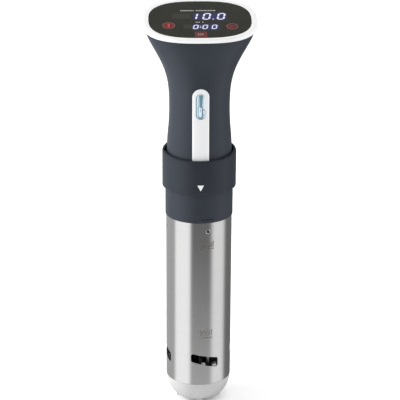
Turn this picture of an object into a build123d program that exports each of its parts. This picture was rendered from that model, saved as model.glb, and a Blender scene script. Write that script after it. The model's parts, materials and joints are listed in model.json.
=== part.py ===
"""Immersion circulator: a pot-side heater and pump on a steel tube, with a tilted display head.

Frame: +Z runs up the tube, the front of the grip faces -Y, and the origin lies on the tube's
axis at the lower edge of the plastic skirt, where the steel tube comes out. Millimetres.
An azimuth is measured from the front (-Y) towards +X.
"""
from build123d import *
from math import cos, pi, radians, sin
import os

# --- driving dimensions -----------------------------------------------------------------------
tube_radius = 30.0
tube_wall = 0.8
tube_bottom = -161.0
mark_azimuth = 14.0                 # screws and level marks are turned this far from the front

slot_azimuth = 9.5
slot_left_z, slot_right_z = -133.6, -140.1
slot_left_height, slot_right_height, slot_corner = 8.4, 9.9, 2.2
front_slot_half_angle, side_slot_half_angle = 25.0, 20.0

skirt_radius = 30.7
spigot_bottom = -20.0
ring_inner, ring_outer = 31.0, 33.4
ring_bottom, ring_top = 28.0, 59.2  # at the front; the collar grows taller towards the clamp
ring_top_slope, ring_bottom_slope = 0.065, -0.05

grip_bottom = 58.0
waist_radius, collar_end_radius = 27.1, 29.35
waist_low_z, waist_high_z = 100.0, 98.0
flare_top_z, flare_power = 179.0, 1.6
head_half_width, head_half_depth = 49.3, 35.0
head_squareness = 2.7               # superellipse exponent at the top; 2 is a true ellipse
shell_wall = 2.2

display_tilt = 15.0
display_z = 180.2
rim_half_width, rim_half_slant, rim_depth = 50.1, 36.5, 3.6
glass_half_width, glass_half_slant, glass_thickness = 45.1, 32.8, 1.6
glass_shift = -0.8                  # the glass sits a little towards the front of the rim
lip_half_width, lip_half_slant, lip_wall = 44.8, 30.8, 1.6

strip_width, strip_top, strip_bottom = 14.8, 124.4, 58.5
lens_width, lens_top, lens_bottom = 8.8, 119.8, 96.5

cap_base_radius, cap_height, cap_wall = 19.0, 20.0, 2.2
foot_bottom = -184.5

shaft_radius = 2.5
pivot_y, pivot_z = 44.0, 42.0       # clamp lever hinge
bayonet_turn = 25.0
cap_turn = 20.0


# --- small helpers ----------------------------------------------------------------------------
def span(low, high):
    """A location that carries a solid of height high - low, centred on the axis, to its place."""
    return Pos(0, 0, (low + high) / 2)


def rod(radius, low, high, x=0.0, y=0.0):
    return Pos(x, y, 0) * span(low, high) * Cylinder(radius, high - low)


def ring(outer, inner, low, high, x=0.0, y=0.0):
    return rod(outer, low, high, x, y) - rod(inner, low - 1, high + 1, x, y)


def block(x0, x1, y0, y1, z0, z1):
    return Pos((x0 + x1) / 2, (y0 + y1) / 2, (z0 + z1) / 2) * Box(x1 - x0, y1 - y0, z1 - z0)


def turned(*points):
    """Solid of revolution about Z of a closed outline of (radius, z) points."""
    return revolve(Plane.XZ * make_face(Polyline(*points, close=True)), Axis.Z)


def facing(azimuth, z=0.0):
    """Plane on the axis that looks outwards at an azimuth, with its y along Z."""
    a = radians(azimuth)
    return Plane(origin=(0, 0, z), x_dir=(cos(a), sin(a), 0), z_dir=(sin(a), -cos(a), 0))


def sector(outer, inner, low, high, start, end):
    """Part of a ring between two azimuths, at most half a turn."""
    reach = outer * 2
    mid = (start + end) / 2
    fan = [(0, 0)]
    for azimuth in (start, (start + mid) / 2, mid, (mid + end) / 2, end):
        fan.append((reach * sin(radians(azimuth)), -reach * cos(radians(azimuth))))
    wedge = Pos(0, 0, low) * extrude(make_face(Polyline(*fan, close=True)), high - low)
    return ring(outer, inner, low, high) & wedge


def alike(shapes):
    """Several separate solids as one group."""
    return Compound(children=list(shapes))


# --- the grip's outer form --------------------------------------------------------------------
def ease(u):
    return sin(pi / 2 * min(max(u, 0.0), 1.0)) ** 2


def flare(z):
    """0 at the waist, 1 where the head is full size."""
    u = (z - waist_high_z) / (flare_top_z - waist_high_z)
    return ease(max(u, 0.0) ** flare_power)


def grip_section(z, grow):
    """Closed curve round the grip at height z, grown outwards by a wall or an offset."""
    foot = (collar_end_radius - waist_radius) * ease((waist_low_z - z) / (waist_low_z - grip_bottom))
    half_width = waist_radius + foot + (head_half_width - waist_radius) * flare(z) + grow
    half_depth = waist_radius + foot + (head_half_depth - waist_radius) * flare(z) + grow
    power = 2 / (2 + (head_squareness - 2) * flare(z))
    points = []
    for step in range(32):
        c, s = cos(2 * pi * step / 32), sin(2 * pi * step / 32)
        x = half_width * abs(c) ** power * (1 if c >= 0 else -1)
        y = half_depth * abs(s) ** power * (1 if s >= 0 else -1)
        points.append((x, y, z))
    return Wire([Edge.make_spline(points, periodic=True)])


display = Plane(
    origin=(0, 0, display_z),
    x_dir=(1, 0, 0),
    z_dir=(0, -sin(radians(display_tilt)), cos(radians(display_tilt))),
)


def on_display(low, high, shape):
    """Extrudes a flat shape between two heights above the display's glass plane."""
    return display * Pos(0, 0, low) * extrude(shape, high - low)


def superellipse(half_width, half_slant, shift=0.0):
    """Rounded oval face on the display plane, moved up or down the slope by shift."""
    points = []
    for step in range(40):
        c, s = cos(2 * pi * step / 40), sin(2 * pi * step / 40)
        x = half_width * abs(c) ** (2 / head_squareness) * (1 if c >= 0 else -1)
        y = half_slant * abs(s) ** (2 / head_squareness) * (1 if s >= 0 else -1)
        points.append((x, y + shift, 0))
    return make_face(Edge.make_spline(points, periodic=True))


def grip_form(grow=0.0, low=grip_bottom):
    """The grip as a full solid, up to the tilted plane under the rim."""
    heights = [low, 68, 80, 92, 104, 116, 126, 136, 146, 156, 166, 178, 196]
    form = Solid.make_loft([grip_section(z, grow) for z in heights])
    under_rim = display.offset(-rim_depth)
    return split(form, bisect_by=under_rim, keep=Keep.BOTTOM)


outer_form = grip_form()
inner_form = grip_form(-shell_wall, grip_bottom - 1)
half_space = 200.0
front_half = block(-half_space, half_space, -half_space, 0, -half_space, half_space)
rear_half = block(-half_space, half_space, 0, half_space, -half_space, half_space)


def strip_outline(width, low, high, round_foot):
    """Upright prism towards -Y: a strip with a round top, and a round foot if it is a pill."""
    radius = width / 2
    shape = Pos(0, high - radius) * Circle(radius)
    foot = low + radius if round_foot else low
    shape += Pos(0, (foot + high - radius) / 2) * Rectangle(width, high - radius - foot)
    if round_foot:
        shape += Pos(0, foot) * Circle(radius)
    return facing(0) * Pos(0, 0, 10) * extrude(shape, 50)


strip_prism = strip_outline(strip_width, strip_bottom, strip_top, False)
lens_prism = strip_outline(lens_width, lens_bottom, lens_top, True)
strip_depth, strip_proud = 1.0, 0.3
under_strip = grip_form(-strip_depth, grip_bottom - 1)
over_strip = grip_form(strip_proud, grip_bottom - 1)


# --- casing -----------------------------------------------------------------------------------
boss_x, boss_z, boss_radius = 30.0, 156.0, 3.6
screw_shank, screw_head, screw_head_y = 1.5, 2.6, 21.0
rib_low, rib_high, rib_inner = 63.6, 66.4, 25.6
gland_z, gland_bore, gland_body, gland_flange, gland_nose = 147.0, 3.6, 5.2, 7.0, 6.6
led_heights, led_half = (101, 108, 115), 1.5


def along_y(radius, y0, y1, x, z):
    return Pos(x, (y0 + y1) / 2, z) * Rot(90, 0, 0) * Cylinder(radius, y1 - y0)


def shell_screw(x):
    shank = along_y(screw_shank, -9, screw_head_y, x, boss_z)
    head = along_y(screw_head, screw_head_y, screw_head_y + 2, x, boss_z)
    drive = Pos(x, screw_head_y + 2, boss_z) * (Box(3.2, 1.6, 0.7) + Box(0.7, 1.6, 3.2))
    return shank + head - drive


def grip_shells():
    wall = outer_form - inner_form
    rib = ring(waist_radius + 1, rib_inner, rib_low, rib_high) & outer_form
    wall += rib
    bosses = [along_y(boss_radius, -40, 40, x, boss_z) for x in (-boss_x, boss_x)]
    for boss in bosses:
        wall += boss & outer_form
    for x in (-boss_x, boss_x):
        wall -= along_y(screw_shank, -9, screw_head_y, x, boss_z)
        wall -= along_y(screw_head + 0.3, screw_head_y, 40, x, boss_z)
    front = (wall & front_half) - (strip_prism - under_strip) - lens_prism
    rear = (wall & rear_half) - along_y(gland_body, 20, 45, 0, gland_z)
    return front, rear


def accent_strip():
    return ((over_strip - under_strip) & strip_prism) - lens_prism


def status_lens():
    back = grip_form(-shell_wall - 0.6, grip_bottom - 1)
    return (grip_form(strip_proud - 0.15, grip_bottom - 1) - back) & lens_prism


def status_board():
    board = block(-6, 6, -23.0, -21.8, 95, 122)
    leds = [block(-led_half, led_half, -24.0, -23.0, z - led_half, z + led_half) for z in led_heights]
    return board, alike(leds)


def cord_gland():
    """Rubber bush at the back of the head; its bore takes the mains lead."""
    body = along_y(gland_body, 26, 35, 0, gland_z) + along_y(gland_flange, 24, 26.5, 0, gland_z)
    nose = Pos(0, 39.5, gland_z) * Rot(-90, 0, 0) * Cone(gland_nose, gland_body, 11)
    return body + nose - along_y(gland_bore, 20, 50, 0, gland_z)


# --- display head -----------------------------------------------------------------------------
board_top, board_thickness = -5.6, 1.6
rim_edge_round, rim_top, lip_depth, glass_gap = 1.3, 0.3, 8.4, 0.1
digit_blocks = {"temperature": (-6.0, 25.5, -3.5, 13.5), "timer": (-7.0, 18.0, -19.5, -8.5)}
touch_keys = {"left": (-27.6, -11.0), "right": (29.1, -12.8), "lower": (1.2, -24.4)}
spring_outer, spring_inner = 4.0, 2.6
buzzer_spot, buzzer_radius, buzzer_height = (-22.0, 6.0), 6.0, 5.8


def bezel():
    rim = on_display(-rim_depth, rim_top, superellipse(rim_half_width, rim_half_slant))
    upper_edge = rim.faces().sort_by(Axis((0, 0, 0), display.z_dir))[-1].edges()
    rim = fillet(upper_edge, rim_edge_round)
    lip = on_display(-lip_depth, -rim_depth, superellipse(lip_half_width, lip_half_slant))
    well = on_display(-lip_depth - 1, 2, superellipse(lip_half_width - lip_wall, lip_half_slant - lip_wall))
    seat = superellipse(glass_half_width + glass_gap, glass_half_slant + glass_gap, glass_shift)
    seat = on_display(-glass_thickness, 2, seat)
    return rim + lip - well - seat


def display_glass():
    return on_display(-glass_thickness, 0, superellipse(glass_half_width, glass_half_slant, glass_shift))


def display_board():
    shape = superellipse(lip_half_width - lip_wall, lip_half_slant - lip_wall)
    return on_display(board_top - board_thickness, board_top, shape)


def digit_block(left, right, low, high):
    shape = Pos((left + right) / 2, (low + high) / 2) * Rectangle(right - left, high - low)
    return on_display(board_top, -glass_thickness, shape)


def touch_springs():
    """Springs that press the touch pads against the glass, as plain tubes of their outer size."""
    springs = []
    for x, y in touch_keys.values():
        washer = Pos(x, y) * (Circle(spring_outer) - Circle(spring_inner))
        springs.append(on_display(board_top, -glass_thickness, washer))
    return alike(springs)


def buzzer():
    under_board = board_top - board_thickness
    return on_display(under_board - buzzer_height, under_board, Pos(*buzzer_spot) * Circle(buzzer_radius))


# --- lower housing ----------------------------------------------------------------------------
lug_radius, lug_half_angle = 31.9, 5.0
lug_low, lug_high = 50.0, 53.0
lug_azimuths = (60.0, 180.0, 300.0)
ledge_z = 15.0
tube_screw_z, screw_hole = -8.8, 2.5
screw_head_height, screw_head_round, screw_recess = 1.15, 0.95, 1.0
tube_screw_azimuths = [mark_azimuth + 90 * k for k in range(4)]
neck_radius, neck_top = 26.5, 70.0  # the neck stands inside the foot of the grip shells
neck_bore, housing_bore, ledge_bore, spigot_bore = 24.2, 28.4, 25.5, 24.6
spigot_radius = tube_radius - tube_wall - 0.05
seal_groove_radius, seal_z, seal_wire = 27.9, -16.0, 0.6
notch_azimuth, notch_z = 12.0, 3.5
notch_width, notch_depth, notch_height = 11.5, 0.8, 1.4


def screw_blank(azimuth):
    """A tube screw without its recess, which is also the shape of its seat in the spigot."""
    at = facing(azimuth, tube_screw_z)
    head = Cylinder(screw_hole - 0.05, screw_head_height)
    head = fillet(head.edges().filter_by(GeomType.CIRCLE).sort_by(Axis.Z)[-1], screw_head_round)
    head = at * Pos(0, 0, tube_radius - 0.02 - screw_head_height / 2) * head
    shank = at * Pos(0, 0, 26.75) * Cylinder(1.2, 5.5)
    return head + shank


def tube_screw(azimuth):
    """Button-head screw that lies just below the tube's surface."""
    recess = extrude(RegularPolygon(1.3, 6), screw_recess, both=True)
    return screw_blank(azimuth) - facing(azimuth, tube_screw_z) * Pos(0, 0, tube_radius) * recess


def lower_housing():
    body = turned(
        (spigot_radius, spigot_bottom), (spigot_radius, 0), (skirt_radius, 0), (skirt_radius, grip_bottom),
        (neck_radius, grip_bottom), (neck_radius, rib_low), (rib_inner, rib_low), (rib_inner, rib_high),
        (neck_radius, rib_high), (neck_radius, neck_top), (neck_bore, neck_top), (neck_bore, 58),
        (housing_bore, 54), (housing_bore, ledge_z), (ledge_bore, ledge_z), (ledge_bore, ledge_z - 2),
        (housing_bore, ledge_z - 6), (housing_bore, 3), (26.4, 0), (spigot_bore, 0),
        (spigot_bore, spigot_bottom),
    )
    body -= ring(tube_radius, seal_groove_radius, seal_z - 0.8, seal_z + 0.8)
    for azimuth in tube_screw_azimuths:
        body -= screw_blank(azimuth)
    for azimuth in lug_azimuths:
        body += sector(lug_radius, 30, lug_low, lug_high,
                       azimuth - lug_half_angle, azimuth + lug_half_angle)
    notch_spot = facing(notch_azimuth, notch_z) * Pos(0, 0, skirt_radius)
    notch = notch_spot * Box(notch_width, notch_height, 2 * notch_depth)
    return body - notch - alike(seal_plate_screws())


def steel_tube():
    tube = ring(tube_radius, tube_radius - tube_wall, tube_bottom, 0)
    for k in range(4):
        half = front_slot_half_angle if k % 2 == 0 else side_slot_half_angle
        reach = tube_radius * sin(radians(half))
        outline = Polyline(
            (-reach, slot_left_z - slot_left_height / 2),
            (reach, slot_right_z - slot_right_height / 2),
            (reach, slot_right_z + slot_right_height / 2),
            (-reach, slot_left_z + slot_left_height / 2),
            close=True,
        )
        face = make_face(outline)
        face = fillet(face.vertices(), slot_corner)
        tube -= facing(slot_azimuth + 90 * k) * Pos(0, 0, 20) * extrude(face, 20)
    for azimuth in tube_screw_azimuths:
        tube -= facing(azimuth, tube_screw_z) * Pos(0, 0, tube_radius) * Cylinder(screw_hole, 4)
    for azimuth in cap_stud_azimuths:
        stud = facing(azimuth, cap_stud_z) * Pos(0, 0, 28.6) * Cylinder(stud_radius, 1.4)
        tube += stud
    return tube


# --- seal plate, heater and probes ------------------------------------------------------------
plate_top, plate_bottom = -20.8, -23.3
heater_x, heater_y, heater_radius, heater_bend = 13.0, 9.0, 3.2, 8.0
heater_low, heater_return = -114.0, -38.0
probe_spots = {"temperature": (8.0, -21.35, 1.6, -147.0), "low": (-7.0, 21.0, 1.3, -100.0),
               "high": (7.0, 21.0, 1.3, -62.0)}


def seal_plate_screws():
    screws = []
    for azimuth in (50, 170, 290):
        x, y = 26.6 * sin(radians(azimuth)), -26.6 * cos(radians(azimuth))
        screws.append(rod(1.2, plate_bottom, -13, x, y) + rod(2.2, plate_bottom - 1.6, plate_bottom, x, y))
    return screws


def heater_element():
    """Sheathed rod in three hairpins round the shaft; both ends come up through the seal plate."""
    x, y = heater_x, heater_y
    path = FilletPolyline(
        (-x, y, -16), (-x, y, heater_low), (-x, -y, heater_low), (-x, -y, heater_return),
        (x, -y, heater_return), (x, -y, heater_low), (x, y, heater_low), (x, y, -16),
        radius=heater_bend,
    )
    start = Plane(origin=path @ 0, z_dir=path % 0)
    return sweep(start * Circle(heater_radius), path=path)


def heater_terminals():
    return alike(block(x - 0.4, x + 0.4, heater_y - 3, heater_y + 3, -16, -6)
                 for x in (-heater_x, heater_x))


def probe(x, y, radius, low):
    tip = Pos(x, y, low) * Sphere(radius)
    return rod(radius, low, -12, x, y) + tip


def shaft_seal():
    return ring(6.0, shaft_radius + 0.1, plate_bottom - 2, -16)


def seal_plate():
    plate = rod(28.9, plate_bottom, plate_top) - rod(6.0, plate_bottom - 1, plate_top + 1)
    for x in (-heater_x, heater_x):
        plate -= rod(heater_radius, plate_bottom - 1, plate_top + 1, x, heater_y)
    for x, y, radius, _ in probe_spots.values():
        plate -= rod(radius, plate_bottom - 1, plate_top + 1, x, y)
    return plate - alike(seal_plate_screws())


def seal_plate_gasket():
    return ring(28.9, 24.6, plate_top, spigot_bottom) - alike(seal_plate_screws())


def tube_seal():
    return Pos(0, 0, seal_z) * Torus(seal_groove_radius + seal_wire, seal_wire)


# --- motor and drive train --------------------------------------------------------------------
can_radius, can_low, can_high, can_wall = 18.0, 17.0, 55.0, 1.2
bearing_radius, bearing_height = 5.5, 3.0
pole_radius, pole_half, pole_count, winding_radius = 10.2, 3.2, 6, 13.6
rotor_radius, rotor_shaft, end_hole = 9.4, 2.0, 2.4
bracket_radius, bracket_hole, screw_circle, vent_circle = 28.1, 4.6, 12.0, 22.5
coupling_radius, nut_radius, nut_height = 5.5, 4.6, 3.2
guide_low, guide_high, bush_radius = -129.0, -123.0, 4.5
motor_screw_azimuths = (30, 150, 270)


def motor_can():
    can = rod(can_radius, can_low, can_high)
    inner_low, inner_high = can_low + can_wall + bearing_height, can_high - can_wall - bearing_height
    can -= rod(can_radius - can_wall, inner_low, inner_high)
    can -= rod(bearing_radius, can_low + can_wall, can_high - can_wall)
    return can - rod(end_hole, can_low - 1, can_high + 1)


def motor_stator():
    low, high = can_low + 6, can_high - 6
    stator = ring(can_radius - can_wall, winding_radius, low, high)
    for k in range(pole_count):
        pole = block(pole_radius, winding_radius + 0.9, -pole_half, pole_half, low, high)
        stator += Rot(0, 0, 360 / pole_count * k) * pole
    return stator - rod(pole_radius, low - 1, high + 1)


def motor_bearings():
    rings = []
    for low in (can_low + can_wall, can_high - can_wall - bearing_height):
        rings.append(ring(bearing_radius, rotor_shaft + 0.1, low, low + bearing_height))
    return alike(rings)


def motor_rotor():
    core = rod(rotor_radius, can_low + 7, can_high - 7)
    return core + rod(rotor_shaft, 6, can_high - 0.5)


def motor_bracket():
    plate = ring(bracket_radius, bracket_hole, ledge_z, can_low)
    for azimuth in motor_screw_azimuths:
        plate -= facing_rod(azimuth, screw_circle, 1.6, ledge_z - 1, can_low + 1)
    for azimuth in (0, 90, 180, 270):
        plate -= facing_rod(azimuth, vent_circle, 3.0, ledge_z - 1, can_low + 1)
    return plate


def facing_rod(azimuth, distance, radius, low, high):
    return rod(radius, low, high, distance * sin(radians(azimuth)), -distance * cos(radians(azimuth)))


def motor_screws():
    screws = []
    for azimuth in motor_screw_azimuths:
        screws.append(facing_rod(azimuth, screw_circle, 1.5, ledge_z, can_low + 4)
                      + facing_rod(azimuth, screw_circle, 2.8, ledge_z - 2, ledge_z))
    return screws


def shaft_coupling():
    body = rod(coupling_radius, -2, 12)
    body -= rod(rotor_shaft, 5, 13)
    return body - rod(shaft_radius, -3, 5) - block(-0.6, 0.6, 0, 7, 3, 6)


def drive_shaft():
    return rod(shaft_radius, -152, 5)


impeller_bottom, impeller_top, impeller_radius = -150.0, -136.0, 20.0
hub_radius, blade_count, blade_top, blade_rake = 6.0, 7, -139.5, 24.0


def impeller():
    wheel = rod(hub_radius, impeller_bottom, impeller_top)
    wheel += rod(impeller_radius, impeller_bottom, impeller_bottom + 1.6)
    blade = block(4.0, impeller_radius - 0.8, -0.8, 0.8, impeller_bottom + 1, blade_top)
    raked = Pos(5, 0, 0) * Rot(0, 0, blade_rake) * Pos(-5.5, 0, 0) * blade
    for k in range(blade_count):
        wheel += Rot(0, 0, 360 / blade_count * k) * raked
    wheel &= rod(impeller_radius, impeller_bottom, impeller_top)
    return wheel - rod(shaft_radius, impeller_bottom - 1, impeller_top + 1)


def impeller_nut():
    nut = Pos(0, 0, impeller_bottom - nut_height) * extrude(RegularPolygon(nut_radius, 6), nut_height)
    return nut - rod(shaft_radius, -152, -140)


def shaft_guide():
    """Spider pressed into the tube that keeps the long shaft from whipping."""
    low, high = guide_low, guide_high
    guide = ring(spigot_radius, 27.4, low, high) + rod(bush_radius + 2, low, high)
    for k in range(3):
        guide += Rot(0, 0, 120 * k + 90) * block(5, 28, -1.5, 1.5, low + 1, high - 1)
    return guide - rod(bush_radius, low - 1, high + 1)


def guide_bush():
    return ring(bush_radius, shaft_radius + 0.1, guide_low - 1, guide_high + 1)


# --- bottom cap -------------------------------------------------------------------------------
cap_top = tube_bottom - 0.2
cap_stud_azimuths = (54.5, 174.5, 294.5)
cap_stud_z = -155.5
dome_power = 1.7
neck_outer, neck_inner, cap_neck_top = 28.9, 26.6, -151.0
fin_azimuths, fin_half_angle, fin_top = (7.0, 29.5), 3.6, -140.0  # one pair in each third
stud_radius, stud_half_angle, stud_height = 1.3, 3.7, 1.8
dome_radius_top, drain_slots, feet, foot_reach = 29.9, 8, 4, 20.6


def dome_radius(depth, base, full):
    """Radius of the dome at a fraction of its height: a superellipse quarter."""
    return base + (full - base) * (1 - depth ** dome_power) ** (1 / dome_power)


def dome(base, full, height):
    depths = (0.0, 0.25, 0.5, 0.7, 0.85, 0.95, 1.0)
    curve = Spline(*[(dome_radius(d, base, full), cap_top - height * d) for d in depths])
    floor = Polyline((base, cap_top - height), (0, cap_top - height), (0, cap_top), (full, cap_top))
    return revolve(Plane.XZ * make_face(curve + floor), Axis.Z)


def bottom_cap():
    """Footed cap that twists off; pairs of upright fins on its neck guard the outlet slots."""
    cap = dome(cap_base_radius, dome_radius_top, cap_height) + rod(neck_outer, cap_top, cap_neck_top)
    cap -= dome(cap_base_radius - cap_wall, dome_radius_top - cap_wall, cap_height - cap_wall)
    cap -= rod(neck_inner, cap_top - 1, cap_neck_top + 1)
    for k in range(3):
        for azimuth in fin_azimuths:
            start = azimuth + 120 * k - fin_half_angle
            cap += sector(neck_outer, neck_inner, cap_neck_top - 1, fin_top,
                          start, start + 2 * fin_half_angle)
    base = cap_top - cap_height
    for k in range(drain_slots):
        slot = extrude(SlotOverall(9.5, 3.2), 10, both=True)
        cap -= Rot(0, 0, 360 / drain_slots * k) * Pos(9.5, 0, base) * slot
    for k in range(feet):
        foot = block(15.6, foot_reach, -3.4, 3.4, foot_bottom, base + 1.5)
        cap += Rot(0, 0, 360 / feet * k) * fillet(foot.edges().filter_by(Axis.Z), 1.2)
    low, high, half = cap_stud_z - stud_height, cap_stud_z + stud_height, stud_half_angle
    for azimuth in cap_stud_azimuths:
        channel = azimuth + cap_turn
        cap -= sector(tube_radius, 27.6, low, high, azimuth - half, channel + half)
        cap -= sector(tube_radius, 27.6, low, fin_top + 1, channel - half, channel + half)
    return cap


# --- pot clamp --------------------------------------------------------------------------------
ear_inner, ear_outer = 9.2, 12.2
pin_radius = 1.5
lever_half, thumb_half = 8.5, 11.0
arrow_width, arrow_top, arrow_height = 5.8, 37.2, 5.4
ring_top_round, ring_bottom_round, arrow_depth = 2.0, 1.2, 0.5
ring_spare = 10.0                   # room for the slope of the collar's two ends


def along_x(radius, x0, x1, y, z):
    return Pos((x0 + x1) / 2, y, z) * Rot(0, 90, 0) * Cylinder(radius, x1 - x0)


def arrow_prism():
    shape = make_face(Polyline((-arrow_width / 2, arrow_top), (arrow_width / 2, arrow_top),
                               (0, arrow_top - arrow_height), close=True))
    return facing(0) * Pos(0, 0, 20) * extrude(shape, 20)


def ring_end(front_z, slope):
    """Plane through the collar's front edge at front_z, rising by slope towards the back."""
    return Plane(origin=(0, -ring_outer, front_z), x_dir=(1, 0, 0), z_dir=(0, -slope, 1))


def clamp_ring():
    """Collar that locks on the lower housing by three lugs and carries the clip's ears."""
    low, high = ring_bottom - ring_spare, ring_top + ring_spare
    band = rod(ring_outer, low, high)
    band = split(band, bisect_by=ring_end(ring_top, ring_top_slope), keep=Keep.BOTTOM)
    band = split(band, bisect_by=ring_end(ring_bottom, ring_bottom_slope), keep=Keep.TOP)
    band = fillet(band.faces().sort_by(Axis.Z)[-1].edges(), ring_top_round)
    band = fillet(band.faces().sort_by(Axis.Z)[0].edges(), ring_bottom_round)
    for side in (-1, 1):
        x0, x1 = sorted((side * ear_inner, side * ear_outer))
        ear = block(x0, x1, 28, pivot_y, pivot_z - 8, pivot_z + 5)
        band += ear + along_x(5.0, x0, x1, pivot_y, pivot_z)
    band -= rod(ring_inner, low - 1, high + 1)
    band -= along_x(pin_radius, -20, 20, pivot_y, pivot_z)
    half = lug_half_angle + 0.8
    for azimuth in lug_azimuths:
        lock = azimuth - bayonet_turn
        band -= sector(32.2, 30, lug_low - 0.3, lug_high + 0.3, lock - half, azimuth + half)
        band -= sector(32.2, 30, lug_low - 0.3, high, lock - half, lock + half)
    return band - (arrow_prism() - rod(ring_outer - arrow_depth, ring_bottom, ring_top))


def arrow_mark():
    return arrow_prism() & ring(ring_outer, ring_outer - arrow_depth, ring_bottom, ring_top)


def hinge_pin():
    return along_x(pin_radius, -ear_outer - 0.6, ear_outer + 0.6, pivot_y, pivot_z)


def clamp_lever():
    """Lever with a rounded thumb end above the hinge and a jaw below it."""
    inner_side = [(36, 1), (36, 17), (44, 27), (47.8, 36), (47.8, 50), (50.5, 62), (54.5, 82)]
    outer_side = [(57.5, 82), (54, 62), (51.3, 50), (51.3, 35), (47.6, 25), (39.6, 15), (39.6, 1)]
    face = make_face(Polyline(*inner_side, *outer_side, close=True))
    face = fillet(face.vertices(), 1.3)
    plate = Plane.YZ * extrude(face, thumb_half, both=True)
    waist = Pos(0, 20) * RectangleRounded(2 * lever_half, 100, 3)
    thumb = Pos(0, 68) * RectangleRounded(2 * thumb_half, 28, thumb_half - 1)
    foot = Rectangle(2 * lever_half, 38, align=(Align.CENTER, Align.MIN))
    outline = Pos(0, 1) * foot + waist + thumb
    plate &= facing(180) * extrude(outline, 80)
    for side in (-1, 1):
        x0, x1 = sorted((side * 4.6, side * lever_half))
        plate += block(x0, x1, pivot_y, 49, pivot_z - 4.4, pivot_z + 4.4)
        plate += along_x(4.4, x0, x1, pivot_y, pivot_z)
    return plate - along_x(pin_radius + 0.15, -20, 20, pivot_y, pivot_z)


def jaw_pad():
    pad = block(-lever_half, lever_half, 31.4, 36, 2, 18)
    return fillet(pad.edges().filter_by(Axis.X), 1.0)


def clamp_spring():
    """Torsion spring as rings round the pin, with one leg up the lever and one up the collar."""
    wire, turns, pitch, coil_radius = 0.5, 6, 1.1, 2.6
    first = -pitch * (turns - 1) / 2
    pieces = []
    for k in range(turns):
        at = Pos(first + pitch * k, pivot_y, pivot_z) * Rot(0, 90, 0)
        pieces.append(at * Torus(coil_radius, wire))
    for side in (-1, 1):
        x = -side * (first - pitch)
        pieces.append(rod(wire, pivot_z, pivot_z + 7, x, pivot_y + side * coil_radius))
    return alike(pieces)


# --- boards in the grip -----------------------------------------------------------------------
board_front, board_back = 4.0, 5.6


def power_board():
    return block(-23.9, 23.9, board_front, board_back, 70, 138)


def transformer():
    core = block(-10, 10, -12, board_front, 76, 94)
    return core + block(-7, 7, -14, board_front, 79, 91)


def capacitor():
    can = Pos(-9, -4, 112) * Cylinder(7.2, 24)
    return fillet(can.edges().sort_by(Axis.Z)[-1], 0.8)


def relay():
    return block(3, 16, -10, board_front, 102, 122)


def heat_sink():
    sink = block(-14, 14, board_back, board_back + 2.4, 84, 120)
    for k in range(8):
        x = -14 + 3.7 * k
        sink += block(x, x + 1.4, board_back, 17, 84, 120)
    return sink


# --- everything, by node name -----------------------------------------------------------------
front_shell, rear_shell = grip_shells()
led_board, leds = status_board()

nodes = {
    "grip_front_shell": front_shell,
    "grip_rear_shell": rear_shell,
    "shell_screws": alike(shell_screw(x) for x in (-boss_x, boss_x)),
    "lower_housing": lower_housing(),
    "bezel": bezel(),
    "display_glass": display_glass(),
    "display_board": display_board(),
    "temperature_digits": digit_block(*digit_blocks["temperature"]),
    "timer_digits": digit_block(*digit_blocks["timer"]),
    "touch_springs": touch_springs(),
    "buzzer": buzzer(),
    "accent_strip": accent_strip(),
    "status_lens": status_lens(),
    "status_board": led_board,
    "status_leds": leds,
    "power_board": power_board(),
    "transformer": transformer(),
    "capacitor": capacitor(),
    "relay": relay(),
    "heat_sink": heat_sink(),
    "cord_gland": cord_gland(),
    "motor_can": motor_can() - alike(motor_screws()),
    "motor_stator": motor_stator(),
    "motor_bearings": motor_bearings(),
    "motor_bracket": motor_bracket(),
    "motor_screws": alike(motor_screws()),
    "seal_plate": seal_plate(),
    "seal_plate_gasket": seal_plate_gasket(),
    "seal_plate_screws": alike(seal_plate_screws()),
    "tube_seal": tube_seal(),
    "shaft_seal": shaft_seal(),
    "heater_element": heater_element(),
    "heater_terminals": heater_terminals(),
    "temperature_probe": probe(*probe_spots["temperature"]),
    "level_probes": alike(probe(*probe_spots[name]) for name in ("low", "high")),
    "steel_tube": steel_tube(),
    "tube_screws": alike(tube_screw(azimuth) for azimuth in tube_screw_azimuths),
    "shaft_guide": shaft_guide(),
    "guide_bush": guide_bush(),
    "motor_rotor": motor_rotor(),
    "shaft_coupling": shaft_coupling(),
    "drive_shaft": drive_shaft(),
    "impeller": impeller(),
    "impeller_nut": impeller_nut(),
    "bottom_cap": bottom_cap(),
    "clamp_ring": clamp_ring(),
    "arrow_mark": arrow_mark(),
    "hinge_pin": hinge_pin(),
    "clamp_lever": clamp_lever(),
    "jaw_pad": jaw_pad(),
    "clamp_spring": clamp_spring(),
}

os.makedirs("parts", exist_ok=True)
for name, shape in nodes.items():
    export_step(shape, f"parts/{name}.step")
    print(f"{name:22s} {shape.volume:10.1f} mm3")
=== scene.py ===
"""Looks of the immersion circulator: materials, lit display, marks and studio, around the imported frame."""
import json
from math import atan2, cos, degrees, pi, radians, sin, sqrt

import bpy
import bmesh
from mathutils import Matrix, Vector
from mathutils.bvhtree import BVHTree


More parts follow.
